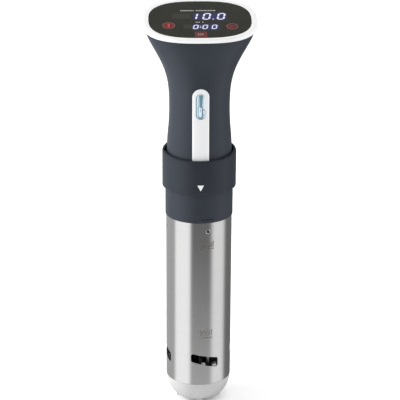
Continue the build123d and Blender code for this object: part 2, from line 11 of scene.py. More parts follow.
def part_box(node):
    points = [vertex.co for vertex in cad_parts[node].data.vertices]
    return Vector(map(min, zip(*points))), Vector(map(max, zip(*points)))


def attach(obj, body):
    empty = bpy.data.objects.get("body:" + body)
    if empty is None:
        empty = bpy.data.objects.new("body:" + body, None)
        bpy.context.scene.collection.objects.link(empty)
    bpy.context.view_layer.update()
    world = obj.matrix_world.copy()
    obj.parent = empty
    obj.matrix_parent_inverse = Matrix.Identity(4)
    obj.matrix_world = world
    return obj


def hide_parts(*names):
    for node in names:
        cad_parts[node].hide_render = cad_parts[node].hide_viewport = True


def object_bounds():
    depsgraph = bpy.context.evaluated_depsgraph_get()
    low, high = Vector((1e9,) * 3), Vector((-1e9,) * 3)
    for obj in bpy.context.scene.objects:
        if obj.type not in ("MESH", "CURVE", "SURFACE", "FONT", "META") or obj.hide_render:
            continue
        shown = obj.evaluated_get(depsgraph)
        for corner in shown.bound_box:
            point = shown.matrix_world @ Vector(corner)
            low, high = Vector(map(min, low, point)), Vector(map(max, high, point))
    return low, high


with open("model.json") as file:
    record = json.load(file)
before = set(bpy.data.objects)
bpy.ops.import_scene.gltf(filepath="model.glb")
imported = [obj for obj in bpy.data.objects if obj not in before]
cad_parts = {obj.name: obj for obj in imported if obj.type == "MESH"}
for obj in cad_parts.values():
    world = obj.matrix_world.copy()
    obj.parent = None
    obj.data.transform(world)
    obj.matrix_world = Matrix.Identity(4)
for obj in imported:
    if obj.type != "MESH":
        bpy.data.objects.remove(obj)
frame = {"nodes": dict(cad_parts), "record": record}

cad_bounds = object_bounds()
MM = 0.001


# --- sizes read from the frame ----------------------------------------------------------------
tube_low, tube_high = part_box("steel_tube")
glass_low, glass_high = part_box("display_glass")
lens_low, lens_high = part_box("status_lens")
cap_low, cap_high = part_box("bottom_cap")
floor_z = cad_bounds[0].z
tube_radius = (tube_high.x - tube_low.x) / 2

display_tilt = radians(15)
glass_thickness = 1.6 * MM
glass_shift = 0.8 * MM              # the glass sits this far down the slope from the head's axis
display_normal = Vector((0, -sin(display_tilt), cos(display_tilt)))
display_up = Vector((0, cos(display_tilt), sin(display_tilt)))
display_origin = ((glass_low + glass_high) / 2 + display_normal * glass_thickness / 2
                  + display_up * glass_shift)


# --- node helpers -----------------------------------------------------------------------------
def new_material(name, color, roughness, metallic=0.0):
    """A material and its principled shader."""
    mat = bpy.data.materials.new(name)
    mat.use_nodes = True
    shader = mat.node_tree.nodes["Principled BSDF"]
    shader.inputs["Base Color"].default_value = (*color, 1)
    shader.inputs["Roughness"].default_value = roughness
    shader.inputs["Metallic"].default_value = metallic
    return mat, shader


def add_node(mat, kind, **settings):
    """A new node, with each setting put on the input or the property of that name."""
    node = mat.node_tree.nodes.new(kind)
    for key, value in settings.items():
        if key in node.inputs:
            node.inputs[key].default_value = value
        else:
            setattr(node, key, value)
    return node


def link(mat, source, target):
    """Joins a node's output to another node's input."""
    mat.node_tree.links.new(source, target)


def feed(mat, value, target):
    """Links an output to an input, or sets the input to a plain value."""
    if isinstance(value, bpy.types.NodeSocket):
        link(mat, value, target)
    else:
        target.default_value = value


def arithmetic(mat, operation, *values):
    """Result of one step of arithmetic on outputs or plain numbers."""
    node = add_node(mat, "ShaderNodeMath", operation=operation)
    for value, target in zip(values, node.inputs):
        feed(mat, value, target)
    return node.outputs[0]


def vector_step(mat, operation, *values):
    """Node for one step of vector arithmetic on outputs or plain vectors."""
    node = add_node(mat, "ShaderNodeVectorMath", operation=operation)
    for value, target in zip(values, node.inputs):
        feed(mat, value, target)
    return node


def blend(mat, factor, first, second):
    """Colour between two colours, each an output or a plain colour with its alpha."""
    node = add_node(mat, "ShaderNodeMix", data_type="RGBA")
    link(mat, factor, node.inputs[0])
    feed(mat, first, node.inputs[6])
    feed(mat, second, node.inputs[7])
    return node.outputs[2]


def object_position(mat):
    """Position in object space, whole and split into its axes."""
    position = add_node(mat, "ShaderNodeTexCoord").outputs["Object"]
    split = add_node(mat, "ShaderNodeSeparateXYZ")
    link(mat, position, split.inputs[0])
    return position, split.outputs


def noise(mat, size, stretch=(1, 1, 1), detail=3.0):
    """Noise in object space whose features are about size metres across, divided by stretch."""
    coords = add_node(mat, "ShaderNodeTexCoord")
    mapping = add_node(mat, "ShaderNodeMapping")
    mapping.inputs["Scale"].default_value = tuple(s / size for s in stretch)
    texture = add_node(mat, "ShaderNodeTexNoise", Detail=detail)
    texture.inputs["Scale"].default_value = 1.0
    link(mat, coords.outputs["Object"], mapping.inputs["Vector"])
    link(mat, mapping.outputs["Vector"], texture.inputs["Vector"])
    return texture.outputs["Fac"]


def spread(mat, source, low, high, centre=0.5, width=0.25):
    """Maps a noise value to a range between low and high."""
    span = add_node(mat, "ShaderNodeMapRange")
    span.inputs["From Min"].default_value = centre - width
    span.inputs["From Max"].default_value = centre + width
    span.inputs["To Min"].default_value = low
    span.inputs["To Max"].default_value = high
    link(mat, source, span.inputs["Value"])
    return span.outputs["Result"]


def soft_edge(mat, source, middle, half, soft):
    """1 where a coordinate is within half of middle, falling smoothly to 0 at half + soft."""
    distance = arithmetic(mat, "ABSOLUTE", arithmetic(mat, "SUBTRACT", source, middle))
    fall = add_node(mat, "ShaderNodeMapRange", interpolation_type="SMOOTHSTEP")
    fall.inputs["From Min"].default_value = half
    fall.inputs["From Max"].default_value = half + soft
    fall.inputs["To Min"].default_value = 1.0
    fall.inputs["To Max"].default_value = 0.0
    link(mat, distance, fall.inputs["Value"])
    return fall.outputs["Result"]


def tint(mat, source, dark, light):
    """Colour between dark and light by a value, with flat ends below 0.3 and above 0.7."""
    ramp = add_node(mat, "ShaderNodeValToRGB")
    ramp.color_ramp.elements[0].position = 0.3
    ramp.color_ramp.elements[1].position = 0.7
    ramp.color_ramp.elements[0].color = (*dark, 1)
    ramp.color_ramp.elements[1].color = (*light, 1)
    link(mat, source, ramp.inputs["Fac"])
    return ramp.outputs["Color"]


def bump(mat, shader, source, height, strength):
    """Raises a surface by a value, with height for the full step from 0 to 1."""
    node = add_node(mat, "ShaderNodeBump")
    node.inputs["Strength"].default_value = strength
    node.inputs["Distance"].default_value = height
    link(mat, source, node.inputs["Height"])
    link(mat, node.outputs["Normal"], shader.inputs["Normal"])


def shaded(color, factor):
    """A colour made darker or lighter by a factor."""
    return tuple(min(c * factor, 1) for c in color)


def srgb(r, g, b):
    """Linear colour of an 8-bit display colour."""
    values = [v / 255 for v in (r, g, b)]
    return tuple(v / 12.92 if v <= 0.04045 else ((v + 0.055) / 1.055) ** 2.4 for v in values)


# --- materials --------------------------------------------------------------------------------
def moulded_plastic(name, color, roughness, grain=0.35 * MM, relief=0.012 * MM, variation=0.06):
    """Moulded plastic: fine spark-eroded grain, and slow changes of tone and gloss."""
    mat, shader = new_material(name, color, roughness)
    slow = noise(mat, 22 * MM, detail=2.0)
    tone = tint(mat, slow, shaded(color, 1 - variation), shaded(color, 1 + variation))
    link(mat, tone, shader.inputs["Base Color"])
    link(mat, spread(mat, slow, roughness - 0.04, roughness + 0.04), shader.inputs["Roughness"])
    bump(mat, shader, noise(mat, grain, detail=2.0), relief, 0.6)
    return mat


def slate_plastic(name, color, roughness):
    """Dark satin plastic: less mirror-like than bare plastic, so the body stays deep in tone."""
    mat = moulded_plastic(name, color, roughness, 0.28 * MM, 0.008 * MM, 0.04)
    mat.node_tree.nodes["Principled BSDF"].inputs["Specular IOR Level"].default_value = 0.16
    return mat


def gloss_plastic(name, color):
    """Polished white plastic with a very slight orange peel."""
    mat, shader = new_material(name, color, 0.24)
    slow = noise(mat, 9 * MM, detail=1.0)
    link(mat, tint(mat, slow, shaded(color, 0.985), color), shader.inputs["Base Color"])
    link(mat, spread(mat, slow, 0.20, 0.28), shader.inputs["Roughness"])
    bump(mat, shader, noise(mat, 2.5 * MM, detail=1.0), 0.004 * MM, 0.4)
    return mat


def gloss_dark(name, color):
    """Smooth dark plastic that stays wet and shiny."""
    mat = moulded_plastic(name, color, 0.22, 1.5 * MM, 0.01 * MM, 0.15)
    mat.node_tree.nodes["Principled BSDF"].inputs["Coat Weight"].default_value = 0.4
    return mat


def edged_strip(name, centre, border_highlight, half):
    """Gloss white strip whose rounded borders, beyond half of the middle, are painted a little whiter as a
    painted highlight along the edges.
    """
    mat = gloss_plastic(name, centre)
    shader = mat.node_tree.nodes["Principled BSDF"]
    border_fade = 0.7 * MM
    middle = soft_edge(mat, object_position(mat)[1]["X"], 0.0, half, border_fade)
    # Painted highlight: the colour turns from the middle colour to the whiter border colour towards the
    # edges.
    link(mat, tint(mat, middle, border_highlight, centre), shader.inputs["Base Color"])
    return mat


def ringed_plastic(name, color, shade):
    """Pale cap plastic with faint level rings; every guard fin but the front one has painted shade on its
    tip, for the dark inside the tube.
    """
    ring_pitch, ring_height = 1.9 * MM, 0.25 * MM
    shaded_tip_length, tip_shade_fade = 2.5 * MM, 0.9 * MM
    front_fin_x, front_fin_half, front_fin_fade = 3.3 * MM, 2.6 * MM, 0.8 * MM
    waves_per_scale = 0.314          # Scale of the wave texture that gives one ring per unit length
    mat = moulded_plastic(name, color, 0.42, 0.5 * MM, 0.008 * MM, 0.03)
    shader = mat.node_tree.nodes["Principled BSDF"]
    position, axes = object_position(mat)
    rings = add_node(mat, "ShaderNodeTexWave", bands_direction="Z", Distortion=0.0)
    rings.inputs["Scale"].default_value = waves_per_scale / ring_pitch
    link(mat, position, rings.inputs["Vector"])
    ringed = tint(mat, rings.outputs["Fac"], shaded(color, 0.95), shaded(color, 1.07))
    # Painted shade: above this line every fin but the front one takes the near-black shade colour.
    painted_shade_line = cap_high.z - shaded_tip_length
    middle, half = (painted_shade_line + cap_low.z) / 2, (painted_shade_line - cap_low.z) / 2
    below_painted_shade = soft_edge(mat, axes["Z"], middle, half, tip_shade_fade)
    front_fin = soft_edge(mat, axes["X"], front_fin_x, front_fin_half, front_fin_fade)
    free_of_painted_shade = arithmetic(mat, "MAXIMUM", below_painted_shade, front_fin)
    link(mat, blend(mat, free_of_painted_shade, (*shade, 1), ringed), shader.inputs["Base Color"])
    bump(mat, shader, rings.outputs["Fac"], ring_height, 0.6)
    return mat


def round_normal(mat, shader):
    """Smooth normal of a wall turned about Z; cut edges and end faces keep their own normal."""
    least_agreement = 0.95           # of a face's normal with the round wall's, to count as the wall
    geometry = add_node(mat, "ShaderNodeNewGeometry")
    own_normal = geometry.outputs["True Normal"]
    level = vector_step(mat, "MULTIPLY", geometry.outputs["Position"], (1, 1, 0))
    outward = vector_step(mat, "NORMALIZE", level.outputs["Vector"]).outputs["Vector"]
    facing = vector_step(mat, "DOT_PRODUCT", outward, own_normal).outputs["Value"]
    aligned = vector_step(mat, "SCALE", outward)
    link(mat, arithmetic(mat, "SIGN", facing), aligned.inputs["Scale"])
    on_wall = arithmetic(mat, "GREATER_THAN", arithmetic(mat, "ABSOLUTE", facing), least_agreement)
    choice = add_node(mat, "ShaderNodeMix", data_type="VECTOR")
    link(mat, on_wall, choice.inputs[0])
    link(mat, own_normal, choice.inputs[4])
    link(mat, aligned.outputs["Vector"], choice.inputs[5])
    link(mat, choice.outputs[1], shader.inputs["Normal"])


def brushed_steel(name):
    """Steel brushed round the tube: hair-fine level lines, and highlights drawn out upright."""
    mat, shader = new_material(name, (0.62, 0.62, 0.615), 0.27, 1.0)
    lines = noise(mat, 0.16 * MM, (0.004, 0.004, 1), 3.0)
    bands = noise(mat, 1.6 * MM, (0.02, 0.02, 1), 2.0)
    cloud = noise(mat, 30 * MM, (1, 1, 0.5), 3.0)
    share_of_bands = 0.2
    mix = add_node(mat, "ShaderNodeMix", data_type="FLOAT")
    mix.inputs["Factor"].default_value = share_of_bands
    link(mat, lines, mix.inputs["A"])
    link(mat, bands, mix.inputs["B"])
    link(mat, tint(mat, mix.outputs["Result"], (0.595, 0.595, 0.592), (0.645, 0.645, 0.641)),
         shader.inputs["Base Color"])
    link(mat, spread(mat, cloud, 0.25, 0.29), shader.inputs["Roughness"])
    shader.inputs["Anisotropic"].default_value = 0.7
    shader.inputs["Anisotropic Rotation"].default_value = 0.25
    tangent = add_node(mat, "ShaderNodeTangent", direction_type="RADIAL", axis="Z")
    link(mat, tangent.outputs["Tangent"], shader.inputs["Tangent"])
    round_normal(mat, shader)
    return mat


def plain_metal(name, color, roughness, brush=(1, 1, 1)):
    """Bare metal with a fine grain; a brush number below 1 draws it out along that axis."""
    mat, shader = new_material(name, color, roughness, 1.0)
    grain = noise(mat, 0.6 * MM, brush, 3.0)
    link(mat, tint(mat, grain, shaded(color, 0.88), shaded(color, 1.08)), shader.inputs["Base Color"])
    link(mat, spread(mat, grain, roughness - 0.05, roughness + 0.07), shader.inputs["Roughness"])
    bump(mat, shader, grain, 0.005 * MM, 0.4)
    return mat


glow_areas = ((8.8, 4.6, 12.8, 5.0), (4.4, -14.0, 10.2, 3.6))   # middle u, v, half width, half height
glow_fade_across, glow_fade_up = 3.5, 2.5                       # all in millimetres on the display


def smoked_glass(name):
    """Near-black display glass over a dark print, with a navy glow round the two lit numbers."""
    mat, shader = new_material(name, srgb(40, 40, 38), 0.07)
    print_tone = noise(mat, 14 * MM, detail=2.0)
    link(mat, tint(mat, print_tone, srgb(26, 27, 18), srgb(34, 34, 25)), shader.inputs["Base Color"])
    shader.inputs["Coat Weight"].default_value = 0.5
    shader.inputs["Coat Roughness"].default_value = 0.03
    position, axes = object_position(mat)
    up = vector_step(mat, "DOT_PRODUCT", position, display_up).outputs["Value"]
    base = display_origin.dot(display_up)
    patches = []
    for u, v, half_u, half_v in glow_areas:
        across = soft_edge(mat, axes["X"], u * MM, half_u * MM, glow_fade_across * MM)
        upward = soft_edge(mat, up, base + v * MM, half_v * MM, glow_fade_up * MM)
        patches.append(arithmetic(mat, "MULTIPLY", across, upward))
    glow = arithmetic(mat, "ADD", *patches)
    link(mat, blend(mat, glow, (0, 0, 0, 1), (*srgb(24, 25, 82), 1)), shader.inputs["Emission Color"])
    shader.inputs["Emission Strength"].default_value = 1.0
    return mat


def smoked_panel(name, color):
    """Unlit digit window, a shade lighter than the print round it."""
    mat, shader = new_material(name, color, 0.16)
    link(mat, tint(mat, noise(mat, 6 * MM), shaded(color, 0.94), shaded(color, 1.06)),
         shader.inputs["Base Color"])
    return mat


def clear_lens(name):
    """Clear acrylic with a very slight ripple of gloss."""
    mat, shader = new_material(name, (0.86, 0.95, 0.97), 0.04)
    shader.inputs["Transmission Weight"].default_value = 1.0
    shader.inputs["IOR"].default_value = 1.45
    ripple = noise(mat, 3.0 * MM, detail=1.0)
    link(mat, spread(mat, ripple, 0.02, 0.07), shader.inputs["Roughness"])
    return mat


def rubber(name, color):
    """Dull moulded rubber."""
    return moulded_plastic(name, color, 0.68, 0.5 * MM, 0.02 * MM, 0.12)


def circuit_board(name):
    """Green solder mask over faint raised traces."""
    mat, shader = new_material(name, (0.02, 0.12, 0.05), 0.35)
    traces = noise(mat, 2.4 * MM, (1, 0.15, 1), 0.0)
    link(mat, tint(mat, traces, (0.012, 0.085, 0.035), (0.03, 0.19, 0.08)), shader.inputs["Base Color"])
    bump(mat, shader, traces, 0.03 * MM, 0.5)
    return mat


def lit(name, color, strength=1.0):
    """A lit segment or lamp: emission a little uneven across its dark face."""
    mat, shader = new_material(name, (0.02, 0.02, 0.02), 0.4)
    shader.inputs["Emission Color"].default_value = (*color, 1)
    shader.inputs["Emission Strength"].default_value = strength
    glow = noise(mat, 1.5 * MM, detail=1.0)
    link(mat, tint(mat, glow, shaded(color, 0.9), color), shader.inputs["Emission Color"])
    return mat


slate = srgb(43, 47, 54)
finishes = {
    "slate_grip": slate_plastic("slate_soft_touch", shaded(slate, 1.22), 0.36),
    "slate_housing": slate_plastic("slate_moulded", shaded(slate, 1.16), 0.40),
    "white_rim": gloss_plastic("white_gloss", (0.75, 0.75, 0.752)),
    # The cap's last colour is painted shade on the guard fins' tips.
    "pale_cap": ringed_plastic("pale_cap_plastic", (0.42, 0.42, 0.418), (0.03, 0.03, 0.03)),
    "display_glass": smoked_glass("smoked_glass"),
    "lens": clear_lens("clear_lens"),
    "tube_steel": brushed_steel("brushed_tube_steel"),
    "screw_steel": plain_metal("bright_screw_steel", (0.78, 0.78, 0.77), 0.18),
    "inner_steel": plain_metal("inner_steel", (0.55, 0.54, 0.52), 0.32),
    "iron_core": plain_metal("laminated_iron", (0.16, 0.16, 0.17), 0.45, (1, 1, 8)),
    "terminal_brass": plain_metal("terminal_brass", (0.72, 0.52, 0.22), 0.3),
    "heat_sink_aluminium": plain_metal("extruded_aluminium", (0.78, 0.78, 0.79), 0.34, (1, 1, 0.1)),
    "circuit_board": circuit_board("circuit_board"),
    "component_case": moulded_plastic("component_case", (0.02, 0.02, 0.022), 0.4),
    "lit_digits": moulded_plastic("segment_module", (0.03, 0.03, 0.035), 0.4),
    "engineering_plastic": moulded_plastic("engineering_plastic", (0.03, 0.03, 0.03), 0.4),
    "seal_rubber": rubber("seal_rubber", (0.022, 0.022, 0.023)),
}
for part in frame["record"]["subparts"]:
    mesh = frame["nodes"][part["node"]].data
    mesh.materials.clear()
    mesh.materials.append(finishes[part["material_slot"]])
own_finishes = {
    "clamp_ring": slate_plastic("slate_collar", shaded(slate, 0.94), 0.40),
    "temperature_probe": plain_metal("probe_steel", (0.36, 0.35, 0.34), 0.36),
    "impeller": gloss_dark("impeller_plastic", (0.05, 0.046, 0.044)),
    # The strip's whiter second colour is a painted highlight on its rounded borders.
    "accent_strip": edged_strip("strip_white", (0.71, 0.712, 0.725), (0.86, 0.86, 0.86), 6.2 * MM),
}
for node_name, finish in own_finishes.items():
    frame["nodes"][node_name].data.materials[0] = finish


# --- mesh helpers -----------------------------------------------------------------------------
def add_piece(name, vertices, faces, material, body, smooth=False):
    """A mesh object that rides on a body and wears the given material."""
    mesh = bpy.data.meshes.new(name)
    mesh.from_pydata([tuple(v) for v in vertices], [], faces)
    mesh.materials.append(material)
    piece = bpy.data.objects.new(name, mesh)
    bpy.context.scene.collection.objects.link(piece)
    if smooth:
        mesh.shade_smooth()
    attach(piece, body)
    return piece


def slab(outline, place, thickness):
    """Closed thin solid over a flat outline; place(u, v, lift) puts a point in the frame."""
    count = len(outline)
    vertices = [place(u, v, thickness) for u, v in outline] + [place(u, v, 0) for u, v in outline]
    faces = [list(range(count)), list(range(2 * count - 1, count - 1, -1))]
    for i in range(count):
        j = (i + 1) % count
        faces.append([i, i + count, j + count, j])
    return vertices, faces


def merged(slabs):
    """Vertices and faces of several solids as one mesh."""
    vertices, faces = [], []
    for part_vertices, part_faces in slabs:
        start = len(vertices)
        vertices += part_vertices
        faces += [[start + i for i in face] for face in part_faces]
    return vertices, faces


# --- flat outlines, in millimetres ------------------------------------------------------------
def bar(u, v, width, height):
    """Upright bar by its lower left corner."""
    return [(u, v), (u + width, v), (u + width, v + height), (u, v + height)]


def disc(u, v, radius, count=40):
    """Circle about a middle point."""
    turns = [2 * pi * k / count for k in range(count)]
    return [(u + radius * cos(t), v + radius * sin(t)) for t in turns]


def rounded_box(u, v, half_width, half_height, corner):
    """Rectangle about a middle point with round corners."""
    steps = 8
    points = []
    for quarter, (side, end) in enumerate(((1, 1), (-1, 1), (-1, -1), (1, -1))):
        for k in range(steps + 1):
            t = pi / 2 * (quarter + k / steps)
            points.append((u + side * (half_width - corner) + corner * cos(t),
                           v + end * (half_height - corner) + corner * sin(t)))
    return points


def band(outer, inner):
    """Short pieces that fill the space between two outlines of equal length."""
    count = len(outer)
    return [[inner[k], outer[k], outer[(k + 1) % count], inner[(k + 1) % count]] for k in range(count)]


# --- lit display ------------------------------------------------------------------------------
print_thickness = 0.06               # of every printed or lit layer, in millimetres
print_gap = 0.02                     # between the glass and the first layer


def on_glass(u, v, lift):
    """Point on the display: u to the right and v up the slope, in millimetres from the head's axis."""
    rise = display_normal * (print_gap + lift)
    return display_origin + (Vector((u, 0, 0)) + display_up * v + rise) * MM


def raised_on_glass(u, v, lift):
    """Point on top of a first printed layer."""
    return on_glass(u, v, lift + print_thickness)


def add_print(name, outlines, material, place=on_glass):
    """A thin printed or lit layer made of flat outlines."""
    vertices, faces = merged([slab(o, place, print_thickness) for o in outlines])
    return add_piece(name, vertices, faces, material, "root")


SEGMENTS = {"0": "abcdef", "1": "bc"}


def segment_outline(name, width, height, stroke):
    """One bar of a seven-segment digit whose lower left corner is the origin."""
    half = stroke / 2
    thin = half * 0.8                # level bars are a little thinner
    gap = stroke * 0.12
    middle = height / 2
    if name in "ad":
        v = height - thin if name == "a" else thin
        left, right = half + gap, width - half - gap
        return [(left, v), (left + half, v + thin), (right - half, v + thin),
                (right, v), (right - half, v - thin), (left + half, v - thin)]
    u = half if name in "ef" else width - half
    low, high = (middle + gap, height - half - gap) if name in "bf" else (half + gap, middle - gap)
    return [(u, low), (u - half, low + half), (u - half, high - half),
            (u, high), (u + half, high - half), (u + half, low + half)]


def number(text, left, low, width, height, stroke, pitch):
    """Outlines of a row of leaning seven-segment digits, with its points and colons in the gaps."""
    lean = 0.18
    dot_radius = stroke * 0.42
    point_shift, point_room = 0.6, 1.2
    colon_rises = [height * 0.34, height * 0.66]
    outlines = []
    cell = left
    for sign in text:
        if sign in SEGMENTS:
            shapes = [segment_outline(name, width, height, stroke) for name in SEGMENTS[sign]]
            start = cell
            cell += pitch
        else:
            rises = [stroke / 2] if sign == "." else colon_rises
            shapes = [disc(0, rise, dot_radius, 10) for rise in rises]
            start = cell - (pitch - width) / 2 + (point_shift if sign == "." else 0)
            cell += point_room if sign == "." else 0
        for shape in shapes:
            outlines.append([(start + u + lean * v, low + v) for u, v in shape])
    return outlines


def caption(left, low, height, words):
    """Stand-in for a line of small print: words as rows of plain upright bars."""
    outlines = []
    step, width, space = 1.34, 0.9, 1.2
    for count in words:
        for k in range(count):
            rise = height * (1.0, 0.8, 0.92)[k % 3]
            outlines.append(bar(left + step * k, low, width, rise))
        left += step * (count + space)
    return outlines


digit_white = lit("digit_white", srgb(226, 228, 255), 1.15)
key_red = lit("key_red", srgb(110, 8, 17))
key_pink = lit("key_pink", srgb(184, 66, 75))
key_rim = lit("key_rim", srgb(124, 70, 70))
dim_red = lit("dim_red", srgb(66, 26, 26))
glyph_red = lit("glyph_red", srgb(140, 44, 44))
dim_rim = lit("dim_rim", srgb(132, 66, 64))
start_red = lit("start_red", srgb(66, 30, 28))
start_rim = lit("start_rim", srgb(142, 44, 42))
start_sign = lit("start_sign", srgb(172, 124, 118))
caption_grey = lit("caption_grey", srgb(182, 184, 178))

temperature = number("10.0", left=-9.8, low=-1.0, width=6.9, height=11.4, stroke=1.6, pitch=11.5)
timer = number("0:00", left=-7.1, low=-17.6, width=4.8, height=7.3, stroke=1.2, pitch=8.1)
upper_words = caption(left=-16.6, low=14.3, height=1.8, words=(9, 13))
lower_words = caption(left=-3.8, low=-6.4, height=1.6, words=(3, 1))
add_print("lit_temperature", temperature, digit_white)
add_print("lit_timer", timer, digit_white)
add_print("caption_upper", upper_words, caption_grey)
add_print("caption_lower", lower_words, caption_grey)


def add_round_key(name, middle, radii, rim, face, sign_outline, sign):
    """A round touch key: rim, face and a raised sign; radii are the rim's two and the face's."""
    outer, inner, disc_radius = radii
    add_print(name + "_rim", band(disc(*middle, outer), disc(*middle, inner)), rim)
    add_print(name + "_disc", [disc(*middle, disc_radius)], face)
    add_print(name + "_sign", [sign_outline], sign, raised_on_glass)


def arrow_outline(u, v):
    """Arrow to the left about a middle point."""
    tip, neck, tail = u - 2.6, u - 1.0, u + 1.6
    wide, thin = 1.4, 0.6
    return [(tip, v), (neck, v + wide), (neck, v + thin), (tail, v + thin),
            (tail, v - thin), (neck, v - thin), (neck, v - wide)]


def add_start_key(u, v):
    """The start and stop key: a rounded box with two bars and a triangle."""
    half_width, half_height, rim_width = 4.4, 3.9, 0.7
    outer = rounded_box(u, v, half_width + rim_width, half_height + rim_width, 1.4)
    inner = rounded_box(u, v, half_width, half_height, 0.8)
    add_print("start_key_rim", band(outer, inner), start_rim)
    add_print("start_key_face", [rounded_box(u, v, half_width, half_height, 0.7)], start_red)
    half, stroke = 2.0, 0.8
    sign = [bar(u - 2.8, v - half, stroke, 2 * half), bar(u - 1.2, v - half, stroke, 2 * half),
            [(u + 0.5, v - half), (u + 3.2, v), (u + 0.5, v + half)]]
    add_print("start_key_sign", sign, start_sign, raised_on_glass)


def add_keys():
    """Three touch keys with plain signs: power, mode, and start or stop."""
    u, v = -27.6, -11.2
    half_width, half_height = 0.9, 3.0
    power_sign = bar(u - half_width, v - half_height, 2 * half_width, 2 * half_height)
    add_round_key("power_key", (u, v), (5.6, 4.6, 4.5), key_rim, key_red, power_sign, key_pink)
    u, v = 27.6, -13.2
    add_round_key("mode_key", (u, v), (5.2, 4.3, 4.2), dim_rim, dim_red, arrow_outline(u, v), glyph_red)
    add_start_key(-0.1, -27.0)


add_keys()
window_print = smoked_panel("unlit_window", srgb(50, 50, 46))
add_print("unlit_temperature_window", [rounded_box(-16.0, 4.8, 8.2, 4.8, 0.8)], window_print)
add_print("unlit_timer_window", [rounded_box(-11.2, -13.4, 3.6, 3.6, 0.6)], window_print)


# --- level marks on the tube ------------------------------------------------------------------
mark_azimuth = 14.0
mark_gap = 0.01                      # between the steel and a mark, in millimetres


def on_tube(u, v, lift):
    """Point on the steel tube: u round the tube from the marks' azimuth, v up the axis."""
    angle = radians(mark_azimuth) + u * MM / tube_radius
    reach = tube_radius + (mark_gap + lift) * MM
    return Vector((reach * sin(angle), -reach * cos(angle), v * MM))


def level_mark(middle, low, line):
    """A group of plain upright ticks over a level line, in place of a word."""
    ticks, tick_pitch, tick_width = 7, 1.75, 0.85
    long_tick, short_tick = 5.6, 4.4
    first_tick = middle - 5.6
    cells, line_length, line_width = 12, 12.8, 0.7
    outlines = []
    for k in range(ticks):
        rise = long_tick if k % 2 == 0 else short_tick
        outlines.append(bar(first_tick + tick_pitch * k, low, tick_width, rise))
    for k in range(cells):
        left = middle - line_length / 2 + line_length * k / cells
        outlines.append(bar(left, line - line_width / 2, line_length / cells, line_width))
    return outlines


def etched_mark(name, color):
    """Dull etched metal."""
    mat, shader = new_material(name, color, 0.55, 0.4)
    link(mat, tint(mat, noise(mat, 1.1 * MM), shaded(color, 0.85), shaded(color, 1.1)),
         shader.inputs["Base Color"])
    return mat


etch = etched_mark("etched_grey", srgb(108, 99, 93))
faint_etch = etched_mark("etched_faint", srgb(124, 117, 112))
add_print("upper_level_mark", level_mark(-0.6, -23.6, -25.1), etch, on_tube)
add_print("lower_level_mark", level_mark(-1.6, -111.0, -113.4), faint_etch, on_tube)


# --- lens -------------------------------------------------------------------------------------
lens_radius = (lens_high.x - lens_low.x) / 2 / MM
lens_middle = (lens_high.z + lens_low.z) / 2 / MM
lens_straight = (lens_high.z - lens_low.z) / 2 / MM - lens_radius
lens_bulge = 0.9                     # height of the dome; these three are in millimetres
strip_curve = 30.0                   # radius of the strip's face, across
light_guide_rise = 0.22              # of the light guide over the dome's base
strip_mesh = frame["nodes"]["accent_strip"].data
strip_faces = BVHTree.FromPolygons([v.co for v in strip_mesh.vertices],
                                   [list(p.vertices) for p in strip_mesh.polygons])


def strip_point(z):
    """Point of the strip's front face on the middle line at a height."""
    well_in_front = -0.2
    return strip_faces.ray_cast(Vector((0, well_in_front, z)), Vector((0, 1, 0)))[0]


foot_hit = strip_point(lens_low.z - 3 * MM)
head_hit = strip_point(lens_high.z + 2 * MM)


def on_lens(u, v, lift):
    """Point on the lens dome: u across and v up from the lens centre, in millimetres."""
    beyond = max(abs(v) - lens_straight, 0)
    near = min(sqrt(u * u + beyond * beyond) / lens_radius, 1)
    z = lens_middle + v
    along = (z * MM - foot_hit.z) / (head_hit.z - foot_hit.z)
    strip_y = foot_hit.y + (head_hit.y - foot_hit.y) * along
    dome = lens_bulge * (1 - near ** 2.4)
    round_side = strip_curve - sqrt(strip_curve ** 2 - u * u)
    return Vector((u * MM, strip_y + (round_side - dome - lift) * MM, z * MM))


def proud_of_lens(u, v, lift):
    """Point a little outside the lens dome."""
    return on_lens(u, v, light_guide_rise + lift)


def tapered_cells(middle, low, high, low_width, high_width):
    """Small cells that fill an upright shape which widens evenly from its foot to its head."""
    rows, columns = 10, 4

    def corner(column, row):
        """Corner of a cell, counted from the lower left."""
        width = low_width + (high_width - low_width) * row / rows
        return middle + width * (column / columns - 0.5), low + (high - low) * row / rows

    return [[corner(c, r), corner(c + 1, r), corner(c + 1, r + 1), corner(c, r + 1)]
            for c in range(columns) for r in range(rows)]


def pill_grid(outer, straight, rings, steps):
    """Rows of points from an upright pill's spine to its outline; straight is half its spine."""
    rows = []
    for ring in range(rings + 1):
        r = outer * ring / rings
        row = []
        for k in range(steps):
            t = 2 * pi * (k + 0.5) / steps
            side = straight if sin(t) > 0 else -straight
            row.append((r * cos(t), side + r * sin(t)))
        rows.append(row)
    return rows


def add_dome(name, material, shift_u=0.0, shift_v=0.0, outer=lens_radius, straight=lens_straight,
             lift=0.0, edge=0.0):
    """A closed pill-shaped skin on the lens, which falls from lift at its spine to edge at its rim."""
    rings, steps, skirt = 8, 48, 1.0 * MM
    vertices, faces = [], []
    for ring, row in enumerate(pill_grid(outer, straight, rings, steps)):
        height = lift * (1 - (ring / rings) ** 3) + edge
        vertices += [on_lens(u + shift_u, v + shift_v, height) for u, v in row]
    back = len(vertices)
    vertices += [v + Vector((0, skirt, 0)) for v in vertices[back - steps:]]
    for ring in range(rings + 1):
        for k in range(steps):
            a, b = ring * steps + k, ring * steps + (k + 1) % steps
            faces.append([a, b, b + steps, a + steps])
    faces.append(list(range(back + steps - 1, back - 1, -1)))
    piece = add_piece(name, vertices, faces, material, "root", smooth=True)
    shape = bmesh.new()
    shape.from_mesh(piece.data)
    bmesh.ops.remove_doubles(shape, verts=shape.verts, dist=0.01 * MM)
    bmesh.ops.recalc_face_normals(shape, faces=shape.faces)
    shape.to_mesh(piece.data)
    shape.free()
    return piece


